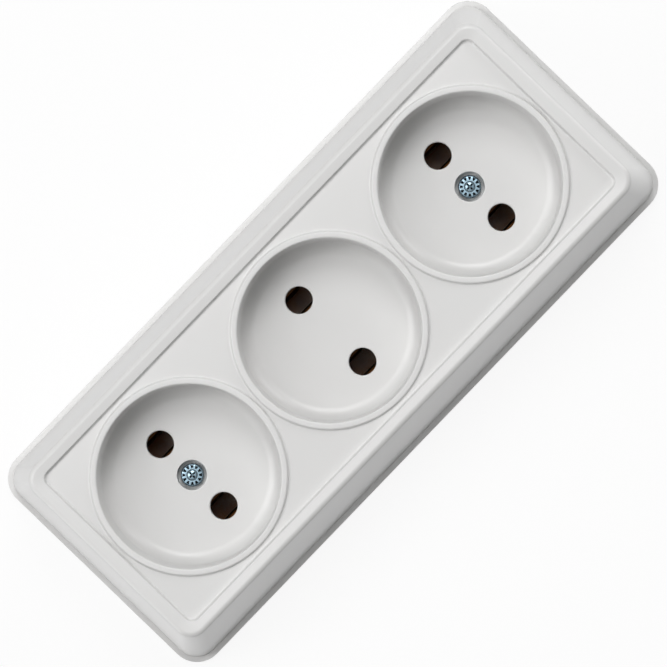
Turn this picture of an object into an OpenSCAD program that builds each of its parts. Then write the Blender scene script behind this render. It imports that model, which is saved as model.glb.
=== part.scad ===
// Surface-mounted triple socket with three round recesses in one moulded cover.
// The origin is the middle of the back face, +Z points out of the wall and +Y along the row of sockets.

/* [Sockets] */
// Distance from one socket's centre to the next
socket_pitch = 43; // [42.5:0.1:52]
// Radius of the recess at the inner edge of its rim
mouth_r = 19.6; // [17:0.1:19.8]
// How much narrower the recess is where its bottom curve starts
wall_draft = 0.3; // [0:0.05:0.8]
// Depth of the recess, from the top of the rim to its floor
recess_depth = 13.5; // [10:0.1:15]
// Radius of the curve between the recess wall and its floor
recess_fillet_r = 6.4; // [3:0.1:6.6]
// Width of the rounded rim round each recess
rim_w = 1.46; // [1:0.01:1.6]
// Height of the rim above the front panel
rim_h = 0.8; // [0.6:0.05:1.2]
// Distance between the two pin holes of a socket
pin_spacing = 19; // [18.5:0.1:20]
// Diameter of a pin hole
pin_hole_d = 5.9; // [5:0.1:6.2]

/* [Cover] */
// Height of the whole socket, from the wall to the edge of the front
body_h = 35.6; // [34:0.1:42]
// Thickness of the cover's walls and front
wall_t = 2; // [1.5:0.1:2.4]
// Thickness of the recess walls and floors
cup_t = 1.8; // [1.4:0.1:2.2]
// Panel left beside the rims, at the long sides
panel_side = 1.3; // [0.8:0.05:4]
// Panel left beyond the rims, at the two ends
panel_end = 1.15; // [0.8:0.05:6]
// Width of the raised frame at the long sides
frame_side = 2.75; // [2.2:0.05:5]
// Width of the raised frame at the two ends
frame_end = 3.05; // [2.2:0.05:6]
// Depth of the step from the frame down to the panel
frame_step = 0.9; // [0.5:0.05:1.5]
// How far the frame falls from its outer edge to the step
frame_fall = 0.4; // [0.1:0.05:0.8]
// Radius of the frame's outer edge
edge_r = 0.9; // [0.5:0.05:1.2]
// How far each long side leans in from foot to front
side_lean = 4.4; // [2:0.1:7]
// How far each end leans in from foot to front
end_lean = 5; // [2:0.1:8]
// Corner radius of the sunk panel
panel_corner_r = 2; // [1:0.1:4]
// Corner radius of the frame's outer edge
frame_corner_r = 4; // [3:0.1:6]
// Corner radius of the cover's foot
foot_corner_r = 5; // [4:0.1:9]
// Height of the shadow groove above the base
seam_h = 0.35; // [0.2:0.05:0.8]
// Depth of the shadow groove above the base
seam_depth = 0.6; // [0.3:0.05:1]
// Width of the webs between neighbouring recesses
web_w = 10; // [4:0.5:16]
// Thickness of the gussets beside the screw bosses
gusset_t = 1.2; // [0.8:0.1:2]

/* [Base] */
// How far the base stands out past the cover's foot
lip_out = 1.15; // [0.6:0.05:3]
// Height of the base's visible edge
lip_h = 3; // [2.6:0.1:4]
// Thickness of the back plate
plate_t = 2; // [1.5:0.1:2.4]
// Height of the wall that the cover slides over, above the lip
spigot_h = 5; // [3:0.1:8]
// Thickness of that wall
spigot_t = 1.5; // [1:0.1:2.5]
// Clearance between that wall and the cover
spigot_clear = 0.25; // [0.15:0.05:0.6]
// Width of the slots for the wall screws
slot_w = 4.5; // [3.5:0.1:5.5]
// Length of those slots, end to end
slot_len = 8; // [7:0.1:12]
// Height of the pads round those slots
pad_h = 1.2; // [0.5:0.1:3]
// Width of the rim left round those slots
pad_rim = 2.2; // [1.2:0.1:3]
// Diameter of the cable entry in the back plate
cable_hole_d = 13; // [8:0.5:13]
// Height of the ribs that carry the contact bars
rib_h = 1.5; // [0.8:0.1:3]
// Thickness of those ribs
rib_t = 1.6; // [1:0.1:2.4]
// Height of the posts that hold each bar upright
post_h = 4.5; // [2:0.1:6]
// Thickness of those posts
post_t = 1.5; // [1:0.1:2]
// Length of those posts along the bar
post_len = 3; // [2:0.1:3.4]
// Clearance between a post and its bar
post_clear = 0.15; // [0.1:0.05:0.3]

/* [Contacts] */
// Thickness of the contact bars
bar_t = 1; // [0.8:0.1:1.5]
// Share of the room under the recess floors that the contact bars fill
bar_share = 0.46; // [0.42:0.01:0.5]
// Thickness of the spring clips
leaf_t = 0.6; // [0.4:0.05:0.8]
// Gap between the two leaves of a clip
leaf_gap = 4; // [3.6:0.1:4.6]
// Gap between the clips and the recess floors above them
clip_under = 2.9; // [1.5:0.1:4]
// Height of a clip's flared mouth
flare_h = 1.5; // [0.8:0.1:2]
// How far the mouth and the tips flare out
flare_out = 0.5; // [0.2:0.05:0.8]
// Reach of the straight leaves past the pin towards the bend
leaf_reach = 4.5; // [3:0.1:6]
// Reach of the free leaf past the pin on its open side
free_reach = 2.5; // [1.5:0.1:4]
// Reach of the riveted leaf past the pin on the other side
leaf_tail = 8; // [7.5:0.1:9]
// Diameter of the rivets
rivet_d = 2.4; // [2:0.1:3]
// Diameter of the rivet heads
rivet_head_d = 4; // [3.4:0.1:4.4]
// Height of the rivet heads
rivet_head_h = 0.8; // [0.5:0.1:1]
// Clearance of a rivet or a screw thread in its hole
thread_clear = 0.05; // [0.02:0.01:0.15]

/* [Screws] */
// Diameter of the cover screws
screw_d = 3; // [2.5:0.1:3.5]
// Diameter of their heads
head_d = 5; // [4.8:0.1:6]
// Height of their heads
head_h = 2.1; // [1.6:0.1:2.3]
// Depth of the cross recess in the middle of their heads
cross_depth = 1.2; // [0.8:0.1:1.5]
// Width of the arms of the cross recess
cross_w = 0.5; // [0.4:0.05:0.6]
// Span of the cross recess
cross_span = 1.9; // [1.6:0.1:2.2]
// Number of notches in the ring round the cross recess
notch_count = 12; // [8:1:14]
// Length of a notch along the head's radius
notch_len = 0.7; // [0.4:0.05:0.8]
// Depth of a notch
notch_depth = 0.7; // [0.3:0.05:1]
// Rim left between the notches and the head's edge
notch_rim = 0.35; // [0.3:0.05:0.5]
// Diameter of the counterbore round the heads
counterbore_d = 6.4; // [6.2:0.1:7]
// Depth of the counterbore
counterbore_depth = 2.6; // [2.3:0.1:3.2]
// Clearance between a cover screw and its hole, all round
screw_clear = 0.2; // [0.1:0.05:0.35]
// Plastic left under the head, down to the pillar
boss_under = 2.5; // [1.5:0.1:4]
// Diameter of the bosses and the pillars
pillar_d = 9; // [8.4:0.1:9.6]
// Gap between a boss and its pillar
pillar_gap = 0.3; // [0.1:0.05:0.6]
// Width of a nut across its flats
nut_flats = 5.5; // [5:0.1:6]
// Thickness of a nut
nut_h = 2.4; // [1.8:0.1:3]
// Depth of a nut below the back face
nut_depth = 3.2; // [1.5:0.1:4]
// Clearance round a nut in its pocket
nut_clear = 0.15; // [0.05:0.05:0.3]

/* [Terminals] */
// Size of a square terminal tab
tab_w = 9; // [8.4:0.1:9.4]
// Diameter of the terminal screws
terminal_d = 4; // [3:0.1:4.5]
// Diameter of their heads
terminal_head_d = 7; // [6:0.1:7.6]
// Height of their heads
terminal_head_h = 2.4; // [1.8:0.1:3]
// Length of their shanks
terminal_len = 8; // [6:0.1:8.2]
// Size of a square clamp washer
washer_w = 8; // [7.8:0.1:8.2]
// Thickness of a clamp washer
washer_t = 1.2; // [0.8:0.1:2]
// Clearance of a terminal screw in its washer and in the base
terminal_clear = 0.3; // [0.2:0.05:0.5]
// Width of the driver slots in the terminal screws
driver_slot_w = 1; // [0.6:0.1:1.4]
// Depth of those slots
driver_slot_depth = 1.2; // [0.8:0.1:1.4]

/* [Hidden] */
$fn = 72;

// Sides of the middle plane, and rows along the socket
left = -1;
right = 1;
lower = -1;
middle = 0;
upper = 1;
rows = [lower, middle, upper];
screw_rows = [lower, upper];
sides = [left, right];

white = "#DFDEDA";
brass = "#C7A252";
bronze = "#A8743C";
zinc = "#B7C1C6";

// Segments in a quarter turn of a lofted corner, and in the frame's rounded edge
corner_steps = 8;
edge_steps = 5;
// How far a cut runs past the surface that it opens
past = 1;

// Heights of the front
frame_low_z = body_h - frame_fall;
panel_z = frame_low_z - frame_step;
rim_z = panel_z + rim_h;
floor_z = rim_z - recess_depth;
floor_under_z = floor_z - cup_t;

// Radii of a recess and of its rim
wall_r = mouth_r - wall_draft;
floor_r = wall_r - recess_fillet_r;
fillet_z = floor_z + recess_fillet_r;
rim_r = mouth_r + rim_w / 2;
rim_out_r = mouth_r + rim_w;
cup_r = wall_r + cup_t;

// Half sizes of the front, from the rims outwards, and of the foot and the base
panel_hx = rim_out_r + panel_side;
panel_hy = socket_pitch + rim_out_r + panel_end;
frame_hx = panel_hx + frame_side;
frame_hy = panel_hy + frame_end;
foot_hx = frame_hx + side_lean;
foot_hy = frame_hy + end_lean;
base_hx = foot_hx + lip_out;
base_hy = foot_hy + lip_out;
base_corner_r = foot_corner_r + lip_out;
foot_z = lip_h;

// The wall that the cover slides over, sized from the leaning cover at that wall's top
spigot_z = lip_h + spigot_h;
spigot_hx = skin_hx(spigot_z) - wall_t - spigot_clear;
spigot_hy = skin_hy(spigot_z) - wall_t - spigot_clear;
spigot_corner_r = foot_corner_r - wall_t;
room_hx = spigot_hx - spigot_t;
room_hy = spigot_hy - spigot_t;
room_corner_r = max(spigot_corner_r - spigot_t, 0.5);

// The contacts, counted out from the pin
pin_x = pin_spacing / 2;
bar_x = pin_x + leaf_gap / 2 + leaf_t;
bar_z = plate_t + rib_h;
bar_h = bar_share * (floor_under_z - bar_z);
bar_top_z = bar_z + bar_h;
leaf_z = bar_top_z - leaf_t - rivet_head_d;
leaf_top_z = floor_under_z - clip_under - flare_h;
leaf_h = leaf_top_z - leaf_z;
free_len = leaf_reach + free_reach;
rivet_z = (leaf_z + bar_top_z) / 2;
rivet_back = leaf_tail - rivet_head_d / 2;
bend_r = leaf_gap / 2 + leaf_t;
clip_end_gap = 0.4;
rib_back = leaf_tail + post_len / 2 + clip_end_gap;
rib_ahead = leaf_reach + bend_r + post_len / 2 + clip_end_gap;

// Gap left at the ends of the bars, the tabs and the screws
end_gap = 0.3;

// The terminals, at the lower end outside the bars
tab_end_y = room_hy - room_corner_r - end_gap;
terminal_y = -(tab_end_y - tab_w / 2);
terminal_x = bar_x + bar_t + tab_w / 2;
tab_z = bar_top_z - bar_t;
washer_z = bar_top_z;
terminal_seat_z = washer_z + washer_t;
terminal_hole_z = terminal_seat_z - terminal_len - end_gap;
bar_end_y = row_y(upper) + rib_ahead + post_len / 2 + end_gap;

// The cable entry, between the end wall and the first rib
cable_edge = 0.8;
cable_y = -(room_hy - cable_hole_d / 2 - cable_edge);

// The cover screws, from their seats down to their nuts
seat_z = floor_z - counterbore_depth;
boss_z = seat_z - boss_under;
pillar_z = boss_z - pillar_gap;
screw_hole_r = screw_d / 2 + screw_clear;
nut_top_z = nut_depth + nut_h;
screw_tip_z = nut_depth - end_gap;
nut_r = nut_flats / 2 / cos(30);
pocket_r = (nut_flats / 2 + nut_clear) / cos(30);

function row_y(row) = row * socket_pitch;
function lean(z) = (z - foot_z) / (body_h - foot_z);
function skin_hx(z) = foot_hx - side_lean * lean(z);
function skin_hy(z) = foot_hy - end_lean * lean(z);
function skin_corner_r(z) = foot_corner_r + (frame_corner_r - foot_corner_r) * lean(z);

// Points round one rounded rectangle, for a loft
function ring(hx, hy, r, z) = [
    for (quarter = [0:3])
        for (i = [0:corner_steps])
            let (a = 90 * (quarter + i / corner_steps),
                 sx = (quarter == 0 || quarter == 3) ? 1 : -1,
                 sy = (quarter < 2) ? 1 : -1)
                [sx * (hx - r) + r * cos(a), sy * (hy - r) + r * sin(a), z]];

// A ring of the cover's leaning outside, taken in all round by inset
function skin_ring(z, inset) =
    ring(skin_hx(z) - inset, skin_hy(z) - inset, max(skin_corner_r(z) - inset, 0.5), z);

// Joins rings of equally many points, closed at both ends
module loft(rings) {
    n = len(rings[0]);
    last = (len(rings) - 1) * n;
    walls = [
        for (k = [0:len(rings) - 2])
            for (i = [0:n - 1])
                [k * n + i, (k + 1) * n + i, (k + 1) * n + (i + 1) % n, k * n + (i + 1) % n]];
    ends = [
        [for (i = [0:n - 1]) i],
        [for (i = [n - 1:-1:0]) last + i]];
    polyhedron(points = [for (r = rings) each r], faces = concat(walls, ends));
}

module rounded_rect(hx, hy, r) {
    square([2 * hx, 2 * (hy - r)], center = true);
    square([2 * (hx - r), 2 * hy], center = true);
    for (sx = sides)
        for (sy = sides)
            translate([sx * (hx - r), sy * (hy - r)])
                circle(r);
}

// Cover: groove, leaning skin, rounded edge, falling frame and step, ending at the panel
module cover_skin() {
    edge_z = body_h - edge_r;
    groove_z = foot_z + seam_h;
    edge_rings = [
        for (i = [1:edge_steps])
            let (a = 90 * i / edge_steps, in = edge_r * (1 - cos(a)))
                ring(skin_hx(edge_z) - in, skin_hy(edge_z) - in,
                     skin_corner_r(edge_z) - in, edge_z + edge_r * sin(a))];
    loft(concat(
        [skin_ring(foot_z, seam_depth),
         skin_ring(groove_z, seam_depth),
         skin_ring(groove_z, 0),
         skin_ring(edge_z, 0)],
        edge_rings,
        [ring(panel_hx, panel_hy, panel_corner_r, frame_low_z),
         ring(panel_hx, panel_hy, panel_corner_r, panel_z)]));
}

module cover_hollow() {
    loft([skin_ring(foot_z - past, wall_t), skin_ring(panel_z - wall_t, wall_t)]);
}

// Half section of one recess: wall, bottom curve, floor and rounded rim
module cup_section() {
    difference() {
        union() {
            translate([0, floor_under_z])
                square([floor_r, panel_z - wall_t / 2 - floor_under_z]);
            translate([floor_r, fillet_z])
                circle(recess_fillet_r + cup_t);
            translate([0, fillet_z])
                square([cup_r, panel_z - wall_t / 2 - fillet_z]);
            translate([mouth_r, fillet_z])
                square([rim_w, rim_z - rim_w / 2 - fillet_z]);
            translate([rim_r, rim_z - rim_w / 2])
                circle(rim_w / 2);
        }
        translate([floor_r, fillet_z])
            circle(recess_fillet_r);
        translate([0, floor_z])
            square([floor_r, rim_z + past - floor_z]);
        polygon([[0, fillet_z], [wall_r, fillet_z], [mouth_r, rim_z - rim_w / 2],
                 [mouth_r, rim_z + past], [0, rim_z + past]]);
        translate([-2 * cup_r, floor_under_z - past])
            square([2 * cup_r, recess_depth + cup_t + 3 * past]);
        translate([0, rim_z])
            square([cup_r + past, recess_fillet_r + cup_t]);
    }
}

module cups() {
    for (row = rows)
        translate([0, row_y(row), 0])
            rotate_extrude()
                cup_section();
}

// Webs between neighbouring recesses, and the bosses for the cover screws with their gussets
module cover_ribs() {
    web_y = (mouth_r + cup_r) / 2;
    gusset_len = 2 * floor_r;
    for (row = [lower, middle])
        translate([-web_w / 2, row_y(row) + web_y, fillet_z])
            cube([web_w, socket_pitch - 2 * web_y, panel_z - wall_t / 2 - fillet_z]);
    for (row = screw_rows) {
        translate([0, row_y(row), boss_z])
            cylinder(h = floor_z - cup_t / 2 - boss_z, d = pillar_d);
        translate([-gusset_t / 2, row_y(row) - gusset_len / 2, boss_z])
            cube([gusset_t, gusset_len, floor_z - cup_t / 2 - boss_z]);
    }
}

module cover_holes() {
    for (row = rows)
        for (side = sides)
            translate([side * pin_x, row_y(row), floor_under_z - past])
                cylinder(h = cup_t + 2 * past, d = pin_hole_d);
    for (row = screw_rows) {
        translate([0, row_y(row), boss_z - past])
            cylinder(h = boss_under + 2 * past, r = screw_hole_r);
        translate([0, row_y(row), seat_z])
            cylinder(h = counterbore_depth + past, d = counterbore_d);
    }
}

module cover() {
    color(white)
        difference() {
            union() {
                difference() {
                    cover_skin();
                    cover_hollow();
                    for (row = rows)
                        translate([0, row_y(row), panel_z - wall_t - past])
                            cylinder(h = wall_t + 2 * past, r = rim_r);
                }
                cups();
                cover_ribs();
            }
            cover_holes();
        }
}

// Base: plate with its lip, spigot wall, pillars, ribs, posts, pads and terminal blocks
module slot_shape(w, length) {
    square([w, length - w], center = true);
    for (end = sides)
        translate([0, end * (length - w) / 2])
            circle(d = w);
}

module base_ribs() {
    for (row = rows)
        for (dy = [-rib_back, rib_ahead])
            translate([0, row_y(row) + dy, 0]) {
                translate([-room_hx - spigot_t / 2, -rib_t / 2, plate_t / 2])
                    cube([2 * room_hx + spigot_t, rib_t, plate_t / 2 + rib_h]);
                for (side = sides)
                    for (x = [bar_x - post_clear - post_t / 2, bar_x + bar_t + post_clear + post_t / 2])
                        translate([side * x, 0, plate_t / 2 + (bar_z + post_h - plate_t / 2) / 2])
                            cube([post_t, post_len, bar_z + post_h - plate_t / 2], center = true);
            }
}

module terminal_blocks() {
    block_w = tab_w - 2 * end_gap;
    for (side = sides)
        translate([side * terminal_x - block_w / 2, terminal_y - block_w / 2, plate_t / 2])
            cube([block_w, block_w, tab_z - plate_t / 2]);
}

module base_cuts() {
    for (row = screw_rows)
        translate([0, row_y(row), 0]) {
            translate([0, 0, -past])
                cylinder(h = pillar_z + 2 * past, r = screw_hole_r);
            translate([0, 0, -past])
                cylinder(h = nut_top_z + past, r = pocket_r, $fn = 6);
        }
    for (end = sides)
        translate([0, end * socket_pitch / 2, -past])
            linear_extrude(plate_t + pad_h + 2 * past)
                slot_shape(slot_w, slot_len);
    translate([0, cable_y, -past])
        cylinder(h = plate_t + rib_h + 2 * past, d = cable_hole_d);
    for (side = sides)
        translate([side * terminal_x, terminal_y, terminal_hole_z])
            cylinder(h = terminal_len + past, r = terminal_d / 2 + terminal_clear);
}

module base() {
    color(white)
        difference() {
            union() {
                linear_extrude(plate_t)
                    rounded_rect(base_hx, base_hy, base_corner_r);
                linear_extrude(lip_h)
                    difference() {
                        rounded_rect(base_hx, base_hy, base_corner_r);
                        rounded_rect(room_hx, room_hy, room_corner_r);
                    }
                linear_extrude(spigot_z)
                    difference() {
                        rounded_rect(spigot_hx, spigot_hy, spigot_corner_r);
                        rounded_rect(room_hx, room_hy, room_corner_r);
                    }
                for (row = screw_rows)
                    translate([0, row_y(row), plate_t / 2])
                        cylinder(h = pillar_z - plate_t / 2, d = pillar_d);
                for (end = sides)
                    translate([0, end * socket_pitch / 2, plate_t / 2])
                        linear_extrude(plate_t / 2 + pad_h)
                            slot_shape(slot_w + 2 * pad_rim, slot_len + 2 * pad_rim);
                base_ribs();
                terminal_blocks();
            }
            base_cuts();
        }
}

// A contact bar on edge, with a tab folded outwards for the terminal
module busbar(side) {
    bar_y = terminal_y - tab_w / 2;
    color(brass)
        difference() {
            union() {
                translate([side > 0 ? bar_x : -bar_x - bar_t, bar_y, bar_z])
                    cube([bar_t, bar_end_y - bar_y, bar_h]);
                translate([side > 0 ? bar_x : -bar_x - bar_t - tab_w, bar_y, tab_z])
                    cube([bar_t + tab_w, tab_w, bar_t]);
            }
            for (row = rows)
                translate([side * bar_x, row_y(row) - rivet_back, rivet_z])
                    rotate([0, 90, 0])
                        cylinder(h = 2 * bar_t + 2 * past, d = rivet_d, center = true);
            translate([side * terminal_x, terminal_y, tab_z - past])
                cylinder(h = bar_t + 2 * past, r = terminal_d / 2 + thread_clear);
        }
}

// Plan of a spring clip round a pin at the origin: riveted leaf, bend and free leaf with a turned-out tip
module clip_plan() {
    translate([leaf_gap / 2, -leaf_tail])
        square([leaf_t, leaf_tail + leaf_reach]);
    translate([0, leaf_reach])
        difference() {
            circle(bend_r);
            circle(leaf_gap / 2);
            translate([-2 * bend_r, -4 * bend_r])
                square(4 * bend_r);
        }
    translate([-bend_r, -free_reach])
        square([leaf_t, free_len]);
    polygon([[-leaf_gap / 2, -free_reach], [-bend_r, -free_reach],
             [-bend_r - flare_out, -free_reach - flare_h],
             [-leaf_gap / 2 - flare_out, -free_reach - flare_h]]);
}

// The flared mouth above both leaves, which guides the pin
module clip_mouth() {
    for (end = sides)
        translate([0, leaf_reach, leaf_top_z])
            rotate([90, 0, 0])
                linear_extrude(free_len)
                    polygon([[end * leaf_gap / 2, 0], [end * bend_r, 0],
                             [end * (bend_r + flare_out), flare_h],
                             [end * (leaf_gap / 2 + flare_out), flare_h]]);
}

module clip(side, row) {
    color(bronze)
        translate([side * pin_x, row_y(row), 0])
            mirror([side < 0 ? 1 : 0, 0, 0])
                difference() {
                    union() {
                        translate([0, 0, leaf_z])
                            linear_extrude(leaf_h)
                                clip_plan();
                        clip_mouth();
                    }
                    translate([bend_r, -rivet_back, rivet_z])
                        rotate([0, 90, 0])
                            cylinder(h = 2 * (leaf_t + past), d = rivet_d, center = true);
                }
}

// A rivet along X through clip and bar, with a flat head on each side
module rivet(side, row) {
    grip = leaf_t + bar_t;
    color(brass)
        translate([side * (bar_x - leaf_t), row_y(row) - rivet_back, rivet_z])
            rotate([0, side * 90, 0]) {
                translate([0, 0, -rivet_head_h])
                    cylinder(h = rivet_head_h, d = rivet_head_d);
                translate([0, 0, -rivet_head_h / 2])
                    cylinder(h = grip + rivet_head_h, r = rivet_d / 2 - thread_clear);
                translate([0, 0, grip])
                    cylinder(h = rivet_head_h, d = rivet_head_d);
            }
}

// Half section of a cheese head, from its seat at zero: upright edge, rounded shoulder and flat top
module head_section(d, h) {
    edge_h = 0.7 * h;
    flat_r = 0.4 * d;
    crown = [
        for (i = [0:edge_steps])
            let (a = 90 * i / edge_steps)
                [flat_r + (d / 2 - flat_r) * cos(a), edge_h + (h - edge_h) * sin(a)]];
    polygon(concat([[0, 0], [d / 2, 0]], crown, [[0, h]]));
}

// Plan of one notch in the ring, wider at its outer end
module notch_plan() {
    out_r = head_d / 2 - notch_rim;
    in_r = out_r - notch_len;
    spoke = PI / notch_count / 3;
    polygon([[in_r, -in_r * spoke], [out_r, -2 * out_r * spoke],
             [out_r, 2 * out_r * spoke], [in_r, in_r * spoke]]);
}

module cover_screw(row) {
    color(zinc)
        translate([0, row_y(row), 0])
            difference() {
                union() {
                    translate([0, 0, seat_z])
                        rotate_extrude()
                            head_section(head_d, head_h);
                    translate([0, 0, screw_tip_z])
                        cylinder(h = seat_z - screw_tip_z + head_h / 2, d = screw_d);
                }
                for (turn = [0, 90])
                    rotate([0, 0, turn])
                        translate([0, 0, seat_z + head_h - cross_depth / 2 + past / 2])
                            cube([cross_span, cross_w, cross_depth + past], center = true);
                for (i = [0:notch_count - 1])
                    rotate([0, 0, 360 * (i + 0.5) / notch_count])
                        translate([0, 0, seat_z + head_h - notch_depth])
                            linear_extrude(notch_depth + past)
                                notch_plan();
            }
}

module cover_nut(row) {
    color(zinc)
        translate([0, row_y(row), nut_depth])
            difference() {
                cylinder(h = nut_h, r = nut_r, $fn = 6);
                translate([0, 0, -past])
                    cylinder(h = nut_h + 2 * past, r = screw_d / 2 + thread_clear);
            }
}

module terminal_washer(side) {
    color(zinc)
        translate([side * terminal_x, terminal_y, washer_z])
            linear_extrude(washer_t)
                difference() {
                    rounded_rect(washer_w / 2, washer_w / 2, 1);
                    circle(terminal_d / 2 + terminal_clear);
                }
}

module terminal_screw(side) {
    color(zinc)
        translate([side * terminal_x, terminal_y, terminal_seat_z])
            difference() {
                union() {
                    rotate_extrude()
                        head_section(terminal_head_d, terminal_head_h);
                    translate([0, 0, -terminal_len])
                        cylinder(h = terminal_len + terminal_head_h / 2, d = terminal_d);
                }
                translate([0, 0, terminal_head_h - driver_slot_depth / 2 + past / 2])
                    cube([driver_slot_w, terminal_head_d + past, driver_slot_depth + past], center = true);
            }
}

cover();
base();
busbar(left);  // busbar_left
busbar(right);  // busbar_right
clip(left, lower);  // clip_left_lower
clip(left, middle);  // clip_left_middle
clip(left, upper);  // clip_left_upper
clip(right, lower);  // clip_right_lower
clip(right, middle);  // clip_right_middle
clip(right, upper);  // clip_right_upper
rivet(left, lower);  // rivet_left_lower
rivet(left, middle);  // rivet_left_middle
rivet(left, upper);  // rivet_left_upper
rivet(right, lower);  // rivet_right_lower
rivet(right, middle);  // rivet_right_middle
rivet(right, upper);  // rivet_right_upper
cover_screw(lower);  // cover_screw_lower
cover_screw(upper);  // cover_screw_upper
cover_nut(lower);  // cover_nut_lower
cover_nut(upper);  // cover_nut_upper
terminal_washer(left);  // terminal_washer_left
terminal_washer(right);  // terminal_washer_right
terminal_screw(left);  // terminal_screw_left
terminal_screw(right);  // terminal_screw_right
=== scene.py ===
"""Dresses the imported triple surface-mounted socket and sets its floor, light and camera.

The cover, the base and the two cover screws get detailed pieces of their own. The contacts,
rivets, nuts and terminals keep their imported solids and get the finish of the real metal.
Sizes are in millimetres unless a name or a comment says otherwise.
"""

from __future__ import annotations

import logging
import math
from dataclasses import dataclass, field
from enum import Enum

import bmesh
import bpy
from bmesh.types import BMEdge, BMesh, BMVert
from mathutils import Matrix, Vector

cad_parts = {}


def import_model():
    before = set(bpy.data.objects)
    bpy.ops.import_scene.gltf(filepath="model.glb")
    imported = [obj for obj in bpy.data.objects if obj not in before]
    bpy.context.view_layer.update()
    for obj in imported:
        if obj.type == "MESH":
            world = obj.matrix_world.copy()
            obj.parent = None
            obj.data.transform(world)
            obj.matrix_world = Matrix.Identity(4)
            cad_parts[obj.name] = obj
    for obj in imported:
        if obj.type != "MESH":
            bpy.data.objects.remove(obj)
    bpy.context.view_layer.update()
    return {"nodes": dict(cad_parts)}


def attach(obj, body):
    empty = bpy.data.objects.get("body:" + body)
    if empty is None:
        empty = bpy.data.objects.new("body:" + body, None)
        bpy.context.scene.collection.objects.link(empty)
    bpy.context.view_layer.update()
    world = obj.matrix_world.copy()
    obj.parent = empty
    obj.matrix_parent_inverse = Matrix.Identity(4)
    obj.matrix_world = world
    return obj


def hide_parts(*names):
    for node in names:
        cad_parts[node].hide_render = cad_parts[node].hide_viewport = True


LOG = logging.getLogger("socket")
MM = 0.001
ROOT = "root"


class Slot(Enum):
    """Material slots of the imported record."""

    COVER = "cover_plastic"
    BASE = "base_plastic"
    BRASS = "brass_strip"
    BRONZE = "spring_bronze"
    ZINC = "zinc_steel"


class Row(Enum):
    """Rows of the socket, by their place in units of the pitch."""

    LOWER = -1
    MIDDLE = 0
    UPPER = 1


# Ring-by-ring modelling


@dataclass(frozen=True)
class Outline:
    """A rounded rectangle, or a circle where the corner is as large as both halves."""

    half_x: float
    half_y: float
    corner: float
    z: float
    x: float = 0.0
    y: float = 0.0

    @classmethod
    def circle(cls, radius: float, z: float, x: float = 0.0, y: float = 0.0) -> Outline:
        """Return a round outline."""
        return cls(radius, radius, radius, z, x, y)

    def corner_centre(self, sign_x: int, sign_y: int) -> Vector:
        """Return the centre of one corner's arc."""
        return Vector((self.x + sign_x * (self.half_x - self.corner),
                       self.y + sign_y * (self.half_y - self.corner), self.z))


@dataclass
class Ring:
    """A closed loop of edges on a skin, and the outline that it follows."""

    verts: list[BMVert]
    edges: list[BMEdge]
    outline: Outline


@dataclass(frozen=True)
class Rounding:
    """An edge loop that is to be rounded.

    Attributes:
        edges: The edges of the loop.
        radius: Radius of the rounding.
        turn: Angle in degrees by which the surface turns there.
        segments: Faces across the rounding.
    """

    edges: tuple[BMEdge, ...]
    radius: float
    turn: float
    segments: int


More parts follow.
